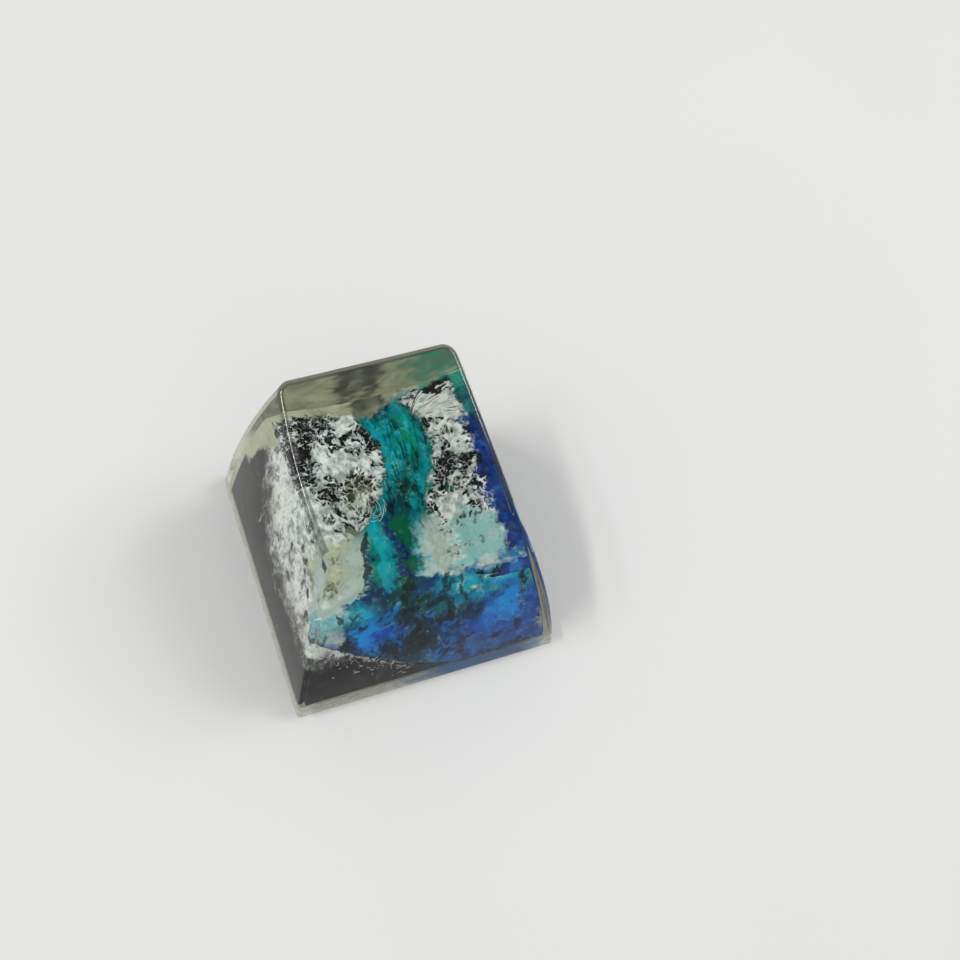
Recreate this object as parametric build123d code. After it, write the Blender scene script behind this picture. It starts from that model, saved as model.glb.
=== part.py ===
from build123d import *
import math
import os

# All sizes are in millimetres. The cap stands on its base, with its front towards -Y and +Z up.

# Outer form: a square base and four bowed sides that lean in towards the top edge
base_width = 18.4
edge_height = 13.5
top_width = 12.0
front_setback = 5.44
back_setback = 0.74
side_bow_depth = 0.49
front_bow_depth = 0.75
back_bow_depth = 0.185
front_edge_break = 0.3
back_edge_break = 0.6
top_edge_round = 0.35

# Scooped top: side ridges that dip between front and back, and a scoop that runs out at the back edge
front_edge_height = 13.0
back_edge_height = 14.05
ridge_dip_depth = 0.71
front_sag_depth = 0.9

# Clear skin around the rock and the tinted pour, and the clear band along the base
skin = 0.6
back_skin = 1.2
rim_band = 0.9

# Hollow underside, with walls that lean in towards its ceiling
rim_wall = 1.8
front_rim_wall = 2.5
hollow_depth = 5.0
hollow_wall_setback = 0.5
hollow_corner_round = 1.2

# Stem with its cross-shaped socket
stem_diameter = 5.6
stem_recess = 0.6
stem_root_flare = 0.5
cross_length = 4.1
cross_width_x = 1.3
cross_width_y = 1.2
socket_depth = 4.0
socket_lead_in = 0.2

# Rock: a mass with a winding valley, over a floor that rises to the back. Heights and depths here are
# those of the control net, and the smooth rock follows them at about half of each.
floor_cover = 1.3
floor_rise = 2.7
rock_net_height = 4.9
rock_net_half_length = 7.0
rock_net_middle = 2.2
shoulder_net_depth = 2.0
valley_net_depth = 10.0
valley_half_width = 2.0
valley_bend_width = 1.5
valley_bend_length = 14.0
rock_net_count = 21

# Tinted water: a river in the valley and a pool that runs down behind the front face
water_depth = 1.3
pool_depth = 0.55
shore_height = 9.6
shore_foot_height = 1.2
shore_length = 10.2

# How far cutters pass the form
margin = 2.0

half_base = base_width / 2
top_front = front_setback - half_base
top_back = half_base - back_setback
trim_height = back_edge_height + margin
reach = half_base + margin


def inward(setback, bow, z):
    """How far a bowed side stands in from the base edge at height z."""
    rise = z / edge_height
    return setback * rise - 4 * bow * rise * (1 - rise)


def bowed_edge(base, outward, setback, bow):
    """One bowed side of an outline, from the base line up past the top."""
    heights = (0, trim_height / 2, trim_height)
    points = [(base - outward * inward(setback, bow, z), z) for z in heights]
    return ThreePointArc(*points)


def bowed_outline(left, right):
    """The closed outline between two bowed sides, each given as bowed_edge takes it."""
    left_edge = bowed_edge(*left)
    right_edge = bowed_edge(*right)
    foot = Line(left_edge @ 0, right_edge @ 0)
    head = Line(left_edge @ 1, right_edge @ 1)
    return make_face([foot, right_edge, head, left_edge])


def bowed_block(side_inset, front_inset, back_inset):
    """The outer form with no top, its sides moved in by the insets: two views, extruded and crossed."""
    side_setback = half_base - top_width / 2
    across = half_base - side_inset
    left_side = (-across, -1, side_setback, side_bow_depth)
    right_side = (across, 1, side_setback, side_bow_depth)
    front_view = bowed_outline(left_side, right_side)
    front_side = (front_inset - half_base, -1, front_setback, front_bow_depth)
    back_side = (half_base - back_inset, 1, back_setback, back_bow_depth)
    side_view = bowed_outline(front_side, back_side)
    along_y = extrude(Plane.XZ * front_view, amount=base_width, both=True)
    along_x = extrude(Plane.YZ * side_view, amount=base_width, both=True)
    return along_y & along_x


def even_steps(count):
    """Evenly spaced places from one side to the other, out past the base."""
    return [reach * (2 * i / (count - 1) - 1) for i in range(count)]


def below(net_heights):
    """Everything under the smooth surface of a square net of control heights, row by row to the back."""
    steps = even_steps(len(net_heights))
    net = [[(x, y, z) for x, z in zip(steps, row)] for y, row in zip(steps, net_heights)]
    surface = Face.make_bezier_surface(net)
    return extrude(surface, amount=trim_height + margin, dir=(0, 0, -1))


def parabola(first, middle, last):
    """The control heights of the parabola through three even heights."""
    return first, 2 * middle - (first + last) / 2, last


def dish_height(x, y):
    """Height of the scooped top."""
    run = (y - top_front) / (top_back - top_front)
    rise = back_edge_height - front_edge_height
    ridge = front_edge_height + rise * run - 4 * ridge_dip_depth * run * (1 - run)
    sag = front_sag_depth * (1 - run)
    return ridge - sag * (1 - (2 * x / top_width) ** 2)


def below_dish():
    """Everything under the scooped top, whose sections both ways are parabolas."""
    steps = even_steps(3)
    rows = [parabola(*[dish_height(x, y) for x in steps]) for y in steps]
    columns = [parabola(*column) for column in zip(*rows)]
    return below(list(zip(*columns)))


def hump(distance, half_width):
    """A smooth rise of height one, centred on distance zero."""
    return math.exp(-((distance / half_width) ** 2))


def floor_height(y):
    """Height of the valley floor, which rises from the front to the back."""
    return hollow_depth + floor_cover + floor_rise * (y + half_base) / base_width


def rock_net_at(x, y):
    """Control height of the rock: its floor, its mass, which thins out sideways, and the winding valley."""
    bend = valley_bend_width * math.sin(2 * math.pi * y / valley_bend_length)
    mass = rock_net_height - shoulder_net_depth * (x / half_base) ** 2
    valley = valley_net_depth * hump(x - bend, valley_half_width)
    return floor_height(y) + hump(y - rock_net_middle, rock_net_half_length) * (mass - valley)


def below_rock():
    """Everything under the rock's surface."""
    steps = even_steps(rock_net_count)
    return below([[rock_net_at(x, y) for x in steps] for y in steps])


def below_water():
    """Everything under the water, which runs down with the valley floor."""
    front_height = floor_height(-reach) + water_depth
    back_height = floor_height(reach) + water_depth
    outline = Polyline((-reach, 0), (reach, 0), (reach, back_height), (-reach, front_height), close=True)
    return extrude(Plane.YZ * make_face(outline), amount=base_width, both=True)


def upright_edges(form, back):
    """The two upright corner edges at the back or at the front."""
    upright = [edge for edge in form.edges() if edge.bounding_box().size.Z > edge_height / 2]
    return [edge for edge in upright if (edge.center().Y > 0) == back]


def make_outer_form():
    """The outside of the cap: bowed sides, scooped top, broken upright edges and a rounded top edge."""
    form = bowed_block(0, 0, 0) & below_dish()
    form = chamfer(upright_edges(form, back=True), back_edge_break)
    form = chamfer(upright_edges(form, back=False), front_edge_break)
    top = form.faces().sort_by(Axis.Z)[-1]
    return fillet(top.edges(), top_edge_round)


def make_hollow():
    """The hollow underside."""
    side = half_base - rim_wall
    front = front_rim_wall - half_base
    outline = Pos(0, (side + front) / 2) * RectangleRounded(2 * side, side - front, hollow_corner_round)
    lean = math.degrees(math.atan2(hollow_wall_setback, hollow_depth))
    return extrude(outline, amount=hollow_depth, taper=lean)


def make_stem():
    """The round stem that hangs from the ceiling, flared at its root."""
    radius = stem_diameter / 2
    flare = radius + stem_root_flare
    root = hollow_depth + floor_cover / 2
    outline = Polyline(
        (0, stem_recess),
        (radius, stem_recess),
        (radius, hollow_depth - stem_root_flare),
        (flare, hollow_depth),
        (flare, root),
        (0, root),
        close=True,
    )
    return revolve(Plane.XZ * make_face(outline), Axis.Z)


def make_socket():
    """The cross-shaped socket, with a lead-in at its mouth."""
    cross = Rectangle(cross_length, cross_width_x) + Rectangle(cross_width_y, cross_length)
    wide = cross_length + 2 * socket_lead_in
    mouth_x = Rectangle(wide, cross_width_x + 2 * socket_lead_in)
    mouth_y = Rectangle(cross_width_y + 2 * socket_lead_in, wide)
    mouth = mouth_x + mouth_y
    lead_in = loft([mouth, Pos(0, 0, socket_lead_in) * cross], ruled=True)
    return Pos(0, 0, stem_recess) * (extrude(cross, amount=socket_depth) + lead_in)


def make_shore():
    """Everything above the shore line on the front face, which sinks from the left to the right."""
    line = Spline(
        (-reach, shore_height),
        (-reach / 2, (shore_height + shore_foot_height) / 2),
        (shore_length - half_base, shore_foot_height),
        (reach, shore_foot_height),
    )
    top = trim_height + margin
    frame = Polyline(line @ 1, (reach, top), (-reach, top), line @ 0)
    return extrude(Plane.XZ * make_face([line, frame]), amount=base_width, both=True)


hollow = make_hollow()
rim = Box(2 * base_width, 2 * base_width, rim_band, align=(Align.CENTER, Align.CENTER, Align.MIN))
lined_form = bowed_block(skin, skin, back_skin) - rim
front_pool = make_shore() - bowed_block(-margin, skin + pool_depth, -margin)
rock_base = (lined_form & below_rock()) - hollow - front_pool + make_stem() - make_socket()
river_pour = (lined_form & below_water()) - hollow - rock_base
clear_casting = make_outer_form() - hollow - rock_base - river_pour

os.makedirs("parts", exist_ok=True)
export_step(clear_casting, "parts/clear_casting.step")
export_step(rock_base, "parts/rock_base.step")
export_step(river_pour, "parts/river_pour.step")
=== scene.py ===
import bmesh
import bpy
import math
import random
import numpy as np
from mathutils import Matrix, Vector, noise
from mathutils.bvhtree import BVHTree


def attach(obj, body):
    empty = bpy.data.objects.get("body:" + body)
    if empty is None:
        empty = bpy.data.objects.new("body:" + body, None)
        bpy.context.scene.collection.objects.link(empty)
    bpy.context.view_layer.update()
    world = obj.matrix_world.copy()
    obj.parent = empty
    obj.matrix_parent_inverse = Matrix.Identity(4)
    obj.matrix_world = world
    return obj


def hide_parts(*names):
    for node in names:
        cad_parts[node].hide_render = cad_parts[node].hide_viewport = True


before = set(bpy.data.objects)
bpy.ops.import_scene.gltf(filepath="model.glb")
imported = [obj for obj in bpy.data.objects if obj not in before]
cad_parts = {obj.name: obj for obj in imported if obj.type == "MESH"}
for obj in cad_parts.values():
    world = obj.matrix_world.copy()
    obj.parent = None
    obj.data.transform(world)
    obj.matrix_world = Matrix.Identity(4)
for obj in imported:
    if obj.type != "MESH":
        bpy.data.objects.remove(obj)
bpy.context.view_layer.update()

# Lengths below are in millimetres, in the part's own frame. MM turns them into metres.
MM = 0.001

# Outer form, as in the part: bowed sides that lean in, and a scooped top
BASE_HALF = 9.2
EDGE_HEIGHT = 13.5
SIDE_SETBACK, SIDE_BOW = 3.2, 0.49
FRONT_SETBACK, FRONT_BOW = 5.44, 0.75
BACK_SETBACK, BACK_BOW = 0.74, 0.185
FRONT_EDGE_Z, BACK_EDGE_Z = 13.0, 14.05
RIDGE_DIP, FRONT_SAG = 0.71, 0.9
TOP_HALF = 6.0
TOP_FRONT, TOP_BACK = FRONT_SETBACK - BASE_HALF, BASE_HALF - BACK_SETBACK

# Edges of the polished casting
FRONT_ROUND, BACK_ROUND, TOP_ROUND, BASE_ROUND = 0.28, 0.9, 0.4, 0.12

# The hazy band along the base, and the finishes of the casting in the order of its material slots
BAND_HEIGHTS = (0.5, 0.9, 1.35)
POLISHED, SANDED, HAZY, EDGE = range(4)
EDGE_START, SANDED_STRIPS = 0.7, 3

# Rows of points over the casting: its rounded foot, its sides, the round of its top edge, and its top
FOOT_SHARES = (0.0, 0.3, 0.7, 1.0)
SIDE_ROWS, ARC_ROWS, TOP_ROWS = 25, 8, 20
EDGE_STEP, EDGE_TRIES = 0.15, 8
TOP_MIDDLE = np.array([0.0, (TOP_FRONT + TOP_BACK) / 2])

# Hollow underside, grown a little so that the black pour stands proud of the clear resin there
HOLLOW_SIDE, HOLLOW_FRONT, HOLLOW_DEPTH, HOLLOW_LEAN, HOLLOW_ROUND = 7.4, 6.7, 5.0, 0.5, 1.2
HOLLOW_GAP = 0.03
ROOF_Z = HOLLOW_DEPTH + HOLLOW_GAP
ROOF_MIDDLE = np.array([0.0, (HOLLOW_SIDE - HOLLOW_FRONT) / 2])
HOLLOW_HEIGHTS, ROOF_SHARES = (0.0, 0.3, 0.9, 2.0, 3.5, ROOF_Z), (0.4, 0.8)

# The clear skin around the rock and the water, and the pool behind the front face
SKIN, BACK_SKIN, POOL_DEPTH = 0.6, 1.2, 0.55

# The water runs down to the front, between two hills, and widens along two runs of y
WATER_Z, WATER_RISE = 7.6, 2.7
STREAM_BEND, STREAM_BEND_LENGTH = 1.5, 14.0
STREAM_HALF, MOUTH_HALF, MOUTH_X, POOL_WIDENING = 1.35, 2.3, -0.9, 4.0
MOUTH_RUN, POOL_RUN = (0.5, -3.5), (-3.6, -5.5)

# The shore line on the front face, where the black pour ends and the water begins
SHORE_HEIGHT, SHORE_FOOT, SHORE_REACH, SHORE_END_X, SHORE_BEND = 9.6, 1.2, 11.2, 1.0, 1.13


def inward(setback, bow, z):
    """How far a bowed side stands in from the base edge at height z."""
    rise = z / EDGE_HEIGHT
    return setback * rise - 4 * bow * rise * (1 - rise)


def side_at(z):
    return BASE_HALF - inward(SIDE_SETBACK, SIDE_BOW, z)


def front_at(z):
    return inward(FRONT_SETBACK, FRONT_BOW, z) - BASE_HALF


def back_at(z):
    return BASE_HALF - inward(BACK_SETBACK, BACK_BOW, z)


def dish_at(x, y):
    """Height of the scooped top."""
    run = (y - TOP_FRONT) / (TOP_BACK - TOP_FRONT)
    ridge = FRONT_EDGE_Z + (BACK_EDGE_Z - FRONT_EDGE_Z) * run - 4 * RIDGE_DIP * run * (1 - run)
    return ridge - FRONT_SAG * (1 - run) * (1 - (x / TOP_HALF) ** 2)


# Meshes

def new_object(name, data):
    made = bpy.data.objects.new(name, data)
    bpy.context.scene.collection.objects.link(made)
    return made


def new_piece(name, points_mm, faces, smooth_angle=None):
    """A mesh object from points in millimetres."""
    mesh = bpy.data.meshes.new(name)
    mesh.from_pydata((np.asarray(points_mm) * MM).tolist(), [], faces)
    mesh.validate()
    if smooth_angle is not None:
        mesh.shade_smooth()
        mesh.set_sharp_from_angle(angle=math.radians(smooth_angle))
    return new_object(name, mesh)


def strip_faces(rows, columns):
    """Quads between closed rows of points that follow each other."""
    faces = []
    for row in range(rows - 1):
        for column in range(columns):
            after = (column + 1) % columns
            a, b = row * columns + column, row * columns + after
            faces.append((a, b, b + columns, a + columns))
    return faces


def lump_faces(rows, columns):
    """Closed faces for a grid of points, then its border ring set lower, then one point under the middle."""
    faces = []
    for row in range(rows - 1):
        for column in range(columns - 1):
            a = row * columns + column
            faces.append((a, a + 1, a + 1 + columns, a + columns))
    ring = border_of(rows, columns)
    first, under = rows * columns, rows * columns + len(ring)
    for k in range(len(ring)):
        after = (k + 1) % len(ring)
        faces.append((ring[k], first + k, first + after, ring[after]))
        faces.append((first + k, under, first + after))
    return faces


def border_of(rows, columns):
    """The grid's border points, once round."""
    count = rows * columns
    border = list(range(columns - 1))
    border += [row * columns + columns - 1 for row in range(rows - 1)]
    border += [count - 1 - column for column in range(columns - 1)]
    border += [row * columns for row in range(rows - 1, 0, -1)]
    return border


class Columns:
    """Places around a rounded rectangle: four corner arcs with straight runs between them."""

    def __init__(self, corner_steps, side_steps):
        arc, run = np.arange(corner_steps + 1), np.arange(1, side_steps)
        turn = np.concatenate([math.pi / 2 * arc / corner_steps, np.full(len(run), math.pi / 2)])
        self.share = np.tile(np.concatenate([np.zeros(len(arc)), run / side_steps]), 4)
        self.first = np.repeat(np.arange(4), len(turn))
        self.second = np.where(self.share > 0, self.first + 1, self.first) % 4
        self.count = len(self.first)
        angle = np.radians(90 * self.first - 90) + np.tile(turn, 4)
        self.outward = np.stack([np.cos(angle), np.sin(angle)], axis=1)

    def corner(self, index, half, front, back, rounds):
        """The arc points of the numbered corners, counted from the front right one round the back."""
        sign = np.array([1, 1, -1, -1])[index]
        radius = np.asarray(rounds)[index]
        middle_y = np.where((index == 0) | (index == 3), front + radius, back - radius)
        return np.stack([sign * (half - radius), middle_y], axis=1) + radius[:, None] * self.outward

    def outline(self, half, front, back, rounds):
        start = self.corner(self.first, half, front, back, rounds)
        end = self.corner(self.second, half, front, back, rounds)
        return start + (end - start) * self.share[:, None]


CASTING_ROUNDS = (FRONT_ROUND, BACK_ROUND, BACK_ROUND, FRONT_ROUND)


def casting_outline(columns, z):
    return columns.outline(side_at(z), front_at(z), back_at(z), CASTING_ROUNDS)


def with_height(outline, z):
    return np.column_stack([outline, np.broadcast_to(z, len(outline))])


def unit(vectors):
    return vectors / np.linalg.norm(vectors, axis=1)[:, None]


def finish_strips(body, columns, first_row, strips, finish):
    """Sets the finish of some of the strips between rows, counted from the first of all rows."""
    for polygon in body.data.polygons[first_row * columns.count:(first_row + strips) * columns.count]:
        polygon.material_index = finish


def top_edge(columns):
    """The round of the top edge: where it starts on the sides, the middle of its arc, and where it ends."""
    edge_z = np.full(columns.count, EDGE_HEIGHT)
    for _ in range(EDGE_TRIES):
        outline = casting_outline(columns, edge_z)
        edge_z = dish_at(outline[:, 0], outline[:, 1])
    edge = with_height(casting_outline(columns, edge_z), edge_z)
    lower = with_height(casting_outline(columns, edge_z - EDGE_STEP), edge_z - EDGE_STEP)
    inner = edge[:, :2] - EDGE_STEP * columns.outward
    inner = with_height(inner, dish_at(inner[:, 0], inner[:, 1]))
    down, into = unit(lower - edge), unit(inner - edge)
    bend = np.arccos(np.sum(down * into, axis=1)) / 2
    run = (TOP_ROUND / np.tan(bend))[:, None]
    middle = edge + unit(down + into) * (TOP_ROUND / np.sin(bend))[:, None]
    return edge + down * run, middle, edge + into * run


def hollow_rows(columns):
    """The hollow underside, from near the middle of its roof down to the base."""
    rows = []
    for z in HOLLOW_HEIGHTS:
        lean = HOLLOW_LEAN * z / HOLLOW_DEPTH - HOLLOW_GAP
        half, rounds = HOLLOW_SIDE - lean, (HOLLOW_ROUND - lean,) * 4
        rows.append(with_height(columns.outline(half, lean - HOLLOW_FRONT, half, rounds), z))
    roof = rows[-1][:, :2]
    for share in ROOF_SHARES:
        rows.append(with_height(roof + (ROOF_MIDDLE - roof) * share, ROOF_Z))
    return rows[::-1]


def foot_rows(columns):
    """The rounded foot of the sides, and the hazy band above it."""
    rows = []
    for share in FOOT_SHARES:
        z = BASE_ROUND * share
        inset = BASE_ROUND * (1 - math.sqrt(1 - (1 - share) ** 2))
        rows.append(with_height(casting_outline(columns, z) - inset * columns.outward, z))
    return rows + [with_height(casting_outline(columns, z), z) for z in BAND_HEIGHTS]


def make_clear_body():
    """The clear casting as one closed skin: hollow, base rim, sides, rounded top edge and scooped top."""
    columns = Columns(corner_steps=7, side_steps=30)
    start, middle, end = top_edge(columns)
    hollow, foot = hollow_rows(columns), foot_rows(columns)
    rows = hollow + foot
    band_top = BAND_HEIGHTS[-1]
    for k in range(1, SIDE_ROWS + 1):
        z = band_top + (start[:, 2] - band_top) * k / SIDE_ROWS
        rows.append(with_height(casting_outline(columns, z), z))
    for k in range(1, ARC_ROWS + 1):
        turned = unit((start - middle) * (1 - k / ARC_ROWS) + (end - middle) * (k / ARC_ROWS))
        rows.append(middle + turned * TOP_ROUND)
    for k in range(1, TOP_ROWS):
        outline = end[:, :2] + (TOP_MIDDLE - end[:, :2]) * k / TOP_ROWS
        rows.append(with_height(outline, dish_at(outline[:, 0], outline[:, 1])))

    faces = strip_faces(len(rows), columns.count)
    roof = len(rows) * columns.count
    crown, last = roof + 1, roof - columns.count
    for column in range(columns.count):
        after = (column + 1) % columns.count
        faces.append((after, column, roof))
        faces.append((last + column, last + after, crown))
    rows += [[[*ROOF_MIDDLE, ROOF_Z]], [[*TOP_MIDDLE, dish_at(*TOP_MIDDLE)]]]
    body = new_piece("clear_body", np.concatenate(rows), faces, smooth_angle=40)

    finish_strips(body, columns, len(hollow) - SANDED_STRIPS, SANDED_STRIPS, SANDED)
    finish_strips(body, columns, len(hollow), len(foot) - 1, HAZY)
    finish_strips(body, columns, len(hollow) + len(foot) + SIDE_ROWS - 1, ARC_ROWS, EDGE)
    for polygon in body.data.polygons:
        if polygon.material_index == EDGE and polygon.center.y < (TOP_FRONT + EDGE_START) * MM:
            polygon.material_index = POLISHED
    return body


# Landscape

def smooth(low, high, value):
    """Goes smoothly from 0 at low to 1 at high."""
    share = np.clip((value - low) / (high - low), 0, 1)
    return share * share * (3 - 2 * share)


def water_at(y):
    return WATER_Z + WATER_RISE * (y + BASE_HALF) / (2 * BASE_HALF)


def stream_middle(y):
    return STREAM_BEND * np.sin(2 * math.pi * y / STREAM_BEND_LENGTH)


def stream_half(y):
    """Half the width of the open water, which widens towards the front."""
    mouth = (MOUTH_HALF - STREAM_HALF) * smooth(*MOUTH_RUN, y)
    return STREAM_HALF + mouth + POOL_WIDENING * smooth(*POOL_RUN, y)


def tree_in_mm(piece):
    points = [vertex.co / MM for vertex in piece.data.vertices]
    return BVHTree.FromPolygons(points, [polygon.vertices[:] for polygon in piece.data.polygons])


SKY_Z = 20.0
DOWN = Vector((0, 0, -1))
SHIFT_SEED, CELL_SEED, STRAND_SEED = 5, 3, 11
CELL_TABLE = 64


def height_on(tree, x, y, otherwise):
    """Height of the highest surface at a place."""
    hit = tree.ray_cast(Vector((x, y, SKY_Z)), DOWN)[0]
    return otherwise if hit is None else hit.z


def fractal_at(points, size, octaves):
    """Fractal noise from about -1 to 1 at each point, with features of the given size in mm."""
    return np.array([noise.fractal(Vector(point) / size, 1.0, 2.0, octaves) for point in points])


def shift_at(points, size):
    """A noise vector at each point, the same in every run."""
    noise.seed_set(SHIFT_SEED)
    return np.array([noise.noise_vector(Vector(point) / size) for point in points])


def cell_edges(places, size, seed):
    """How far each place is from the edges of a random cell pattern, in shares of a cell."""
    table = np.random.default_rng(seed).random((CELL_TABLE, CELL_TABLE, 2))
    scaled = places / size
    cell = np.floor(scaled).astype(int)
    distances = []
    for step_x in (-1, 0, 1):
        for step_y in (-1, 0, 1):
            near = cell + (step_x, step_y)
            seeds = near + table[near[:, 0] % CELL_TABLE, near[:, 1] % CELL_TABLE]
            distances.append(np.linalg.norm(scaled - seeds, axis=1))
    nearest = np.sort(np.array(distances), axis=0)
    return nearest[1] - nearest[0]


# Where the snow lies thicker or thinner: the place, its reach, and how much more cover
SNOW_COVER = [
    (-4.2, 3.2, 1.1, 0.40), (-6.2, 0.3, 1.4, 0.50), (-5.2, 5.6, 1.2, -0.20), (-1.9, 4.8, 1.1, -0.20),
    (-5.2, -0.6, 0.8, -0.20), (-4.6, -3.0, 1.9, 0.60), (-6.0, -4.8, 1.0, 0.80), (5.4, 4.4, 1.1, 0.50),
    (3.0, 3.0, 0.8, 0.35), (4.2, 1.6, 1.1, -0.60), (3.6, -0.2, 0.9, -0.40), (5.1, 0.2, 0.8, 0.45),
    (4.2, -3.2, 1.8, 0.80),
]
RELIEF_ACROSS, RELIEF_ALONG = 250, 290
RELIEF_INSET, RELIEF_ROOT, RELIEF_UNDER = 0.03, 0.25, (0.0, 1.5, 5.9)
RELIEF_START_Z, RELIEF_TRIES = 9.0, 4

# Heights on the rock: its crags, the banks beside the water, the paint, and how far its ends drop
CRAG_LIFT, CRAG_HEIGHT, CRAG_LEVEL, LEAST_LIFT = 0.06, 0.35, 0.75, 0.04
BANK_RISE, BANK_DROP, SNOW_THICKNESS = 0.5, 0.35, 0.09
BACK_DROP, FRONT_DROP = 0.35, 0.5

# The brushed fan on the right crest: its root, its reach, and the angles between which it opens
FAN_X, FAN_Y, FAN_REACH = 2.3, 5.2, 3.5
FAN_LOW, FAN_HIGH = math.radians(-8), math.radians(66)
FAN_CURL, FAN_CURL_START, STROKE_TURN = 0.13, 1.5, 0.055

# How far the snow reaches to the right and the hills to the back, and where the river comes out between them
SNOW_EDGE_X = 6.0
CREST_Y, CREST_SLOPE, CREST_DIP, DIP_X, DIP_HALF = 7.0, 0.05, 0.9, -0.4, 1.7


def crest_at(x):
    return CREST_Y + CREST_SLOPE * x - CREST_DIP * np.exp(-((x - DIP_X) / DIP_HALF) ** 2)


def veins(points, size, octaves, width):
    """Thin wandering lines, 1 along each line and 0 away from it."""
    return smooth(width, 0.3 * width, np.abs(fractal_at(points, size, octaves)))


def brushed_fan(x, y):
    """The strokes of the fan, and how far the fan itself covers each place."""
    reach = np.hypot(x - FAN_X, y - FAN_Y)
    turn = np.arctan2(y - FAN_Y, x - FAN_X) + FAN_CURL * (reach - FAN_CURL_START)
    share = (turn - FAN_LOW) / (FAN_HIGH - FAN_LOW)
    strokes = fractal_at(np.column_stack([turn / STROKE_TURN, reach / 1.5, np.zeros(len(x))]), 1.0, 3)
    inside = smooth(0.2, 0.8, reach) * smooth(FAN_REACH, 0.85 * FAN_REACH, reach + 0.35 * strokes)
    inside *= smooth(-0.05, 0.1, share) * smooth(1.05, 0.9, share)
    bare = -0.35 + 0.5 * smooth(0.35, 1.0, share)
    return smooth(bare - 0.12, bare + 0.12, strokes), inside


def relief_place(u, v, z):
    """The place on the rock's top at a share across and along it, where its sides stand at height z."""
    front = front_at(z) + SKIN + POOL_DEPTH + RELIEF_INSET
    back = back_at(z) - BACK_SKIN - RELIEF_INSET
    return u * (side_at(z) - SKIN - RELIEF_INSET), front + v * (back - front)


def snow_on(x, y, flat, ragged, off_water):
    """How thick the white lies at each place: flakes, veins and patches, and the strokes of the fan."""
    bent = flat + 0.5 * shift_at(flat, 1.4) + 0.18 * shift_at(flat, 0.45) + 0.06 * shift_at(flat, 0.16)
    cover = 0.9 * fractal_at(flat + 7.0, 1.8, 4)
    for middle_x, middle_y, reach, amount in SNOW_COVER:
        cover += amount * np.exp(-((x - middle_x) ** 2 + (y - middle_y) ** 2) / reach ** 2)
    width = np.clip(0.16 + 0.22 * cover, 0.03, 0.5)
    cells = cell_edges(bent[:, :2], 0.8, CELL_SEED)
    lace = smooth(1.6 * width, 0.7 * width, cells) * smooth(-0.1, 0.2, fractal_at(flat + 3.0, 1.6, 2))
    lace = np.maximum(lace, veins(bent + 11.0, 1.1, 4, width))
    lace = np.maximum(lace, 0.85 * veins(bent + 17.0, 0.45, 3, 0.8 * width))
    lace = np.maximum(lace, smooth(0.25, 0.6, cover + 0.35 * ragged))
    strokes, in_fan = brushed_fan(x, y)
    lace += in_fan * (strokes - lace)
    return lace * smooth(-0.1, 0.5, off_water) * smooth(SNOW_EDGE_X, 5.3, x + 0.5 * ragged)


def make_relief(rock_tree):
    """The rugged top of the rock, a closed slab that lies on the pour, with its paint as an attribute."""
    u, v = np.meshgrid(np.linspace(-1, 1, RELIEF_ACROSS), np.linspace(0, 1, RELIEF_ALONG))
    u, v = u.ravel(), v.ravel()
    ground = np.full(len(u), RELIEF_START_Z)
    for _ in range(RELIEF_TRIES):
        x, y = relief_place(u, v, ground)
        ground = np.array([height_on(rock_tree, *place) for place in zip(x, y, ground)])

    flat = np.column_stack([x, y, np.zeros(len(x))])
    ragged = fractal_at(flat, 0.9, 4)
    off_water = np.abs(x - stream_middle(y)) - stream_half(y) + 0.35 * fractal_at(flat, 1.1, 3)
    snow = snow_on(x, y, flat, ragged, off_water)
    crags = 1.0 - np.abs(fractal_at(flat, 1.5, 5))
    bank = water_at(y) + BANK_RISE * smooth(-0.5, 0.9, off_water) - BANK_DROP
    top = np.maximum(ground + CRAG_LIFT + CRAG_HEIGHT * (crags - CRAG_LEVEL), bank) + SNOW_THICKNESS * snow
    back_end, front_end = smooth(0.93, 0.97, v + 0.035 * ragged), smooth(0.05, 0.02, v + 0.03 * ragged)
    top -= BACK_DROP * back_end + FRONT_DROP * front_end
    top = np.maximum(top, ground + LEAST_LIFT - smooth(-2.0, -1.0, y) - smooth(-3.6, -3.0, x))

    x, y = relief_place(u, v, top)
    ring = border_of(RELIEF_ALONG, RELIEF_ACROSS)
    low = np.minimum(ground, top)[ring] - RELIEF_ROOT
    lower = np.column_stack([*relief_place(u[ring], v[ring], ground[ring]), low])
    points = np.concatenate([np.column_stack([x, y, top]), lower, [RELIEF_UNDER]])
    relief = new_piece("rock_relief", points, lump_faces(RELIEF_ALONG, RELIEF_ACROSS), smooth_angle=60)
    attribute = relief.data.attributes.new("snow", "FLOAT", "POINT")
    attribute.data.foreach_set("value", np.concatenate([snow, snow[ring], [0.0]]))
    return relief


def keep_largest_island(mesh):
    """Drops the crumbs that come off thin edges when a mesh is made anew."""
    work = bmesh.new()
    work.from_mesh(mesh)
    islands, left = [], set(work.verts)
    while left:
        edge = [left.pop()]
        islands.append(edge[:])
        while edge:
            fresh = {vertex for link in edge.pop().link_edges for vertex in link.verts} & left
            left -= fresh
            islands[-1] += fresh
            edge += fresh
    islands.sort(key=len)
    crumbs = [vertex for island in islands[:-1] for vertex in island]
    bmesh.ops.delete(work, geom=crumbs, context="VERTS")
    work.to_mesh(mesh)
    work.free()


# The net of the water's skin, and its ripples, which are drawn out along the flow
RIVER_NET = 0.12
RIPPLE_SIZE, RIPPLE_STRETCH = 0.7, (1.0, 0.4, 0.6)
RIPPLE_SINK, RIPPLE_HEIGHT = 0.03, 0.05


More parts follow.
